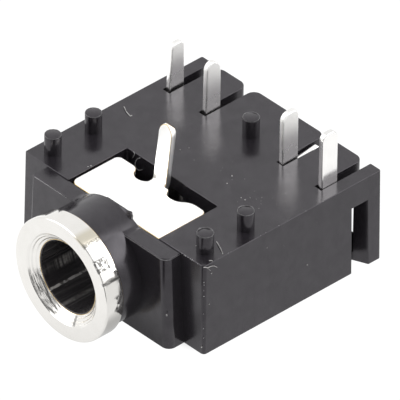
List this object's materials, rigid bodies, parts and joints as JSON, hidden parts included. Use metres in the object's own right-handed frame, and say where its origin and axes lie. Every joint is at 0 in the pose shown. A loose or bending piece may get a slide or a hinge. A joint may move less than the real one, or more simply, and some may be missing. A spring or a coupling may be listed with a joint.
{
  "type": "audio jack socket",
  "caption": "Board-mounted audio jack socket: flat black moulded body with a round plated mouth, locating pegs, and blade solder pins on sprung switch contacts.",
  "frame": {"origin": "on the plug axis, in the plane of the main body's front face, where the edge of the circuit board lies", "axes": "+Z towards the solder pins and the board, -Y out of the plug's mouth, +X across the body"},
  "size_m": [0.0121, 0.0142, 0.0085],
  "materials": {
    "black_moulding": "satin moulded black",
    "plated_ring": "bright nickel plate",
    "plated_contact": "silver or tin plate on a copper alloy strip"
  },
  "bodies": {
    "housing": {"housing": "black_moulding", "bush_ring": "plated_ring", "sleeve_contact": "plated_contact", "ring_terminal": "plated_contact", "ring_switch_contact": "plated_contact", "tip_switch_contact": "plated_contact", "tip_terminal": "plated_contact"},
    "ring_spring_arm": {"ring_spring_arm": "plated_contact"},
    "tip_spring_arm": {"tip_spring_arm": "plated_contact"}
  },
  "joints": [
    {"name": "ring_spring_flex", "type": "hinge", "parent": "housing", "child": "ring_spring_arm", "pos_m": [-0.0042, 0.00925, 0], "axis": [0, 0, -1], "range_deg": [0, 4.5], "stiffness_Nm_per_rad": 0.08},
    {"name": "tip_spring_flex", "type": "hinge", "parent": "housing", "child": "tip_spring_arm", "pos_m": [0.0042, 0.0051, 0], "axis": [0, 0, -1], "range_deg": [0, 4.5], "stiffness_Nm_per_rad": 0.08}
  ]
}
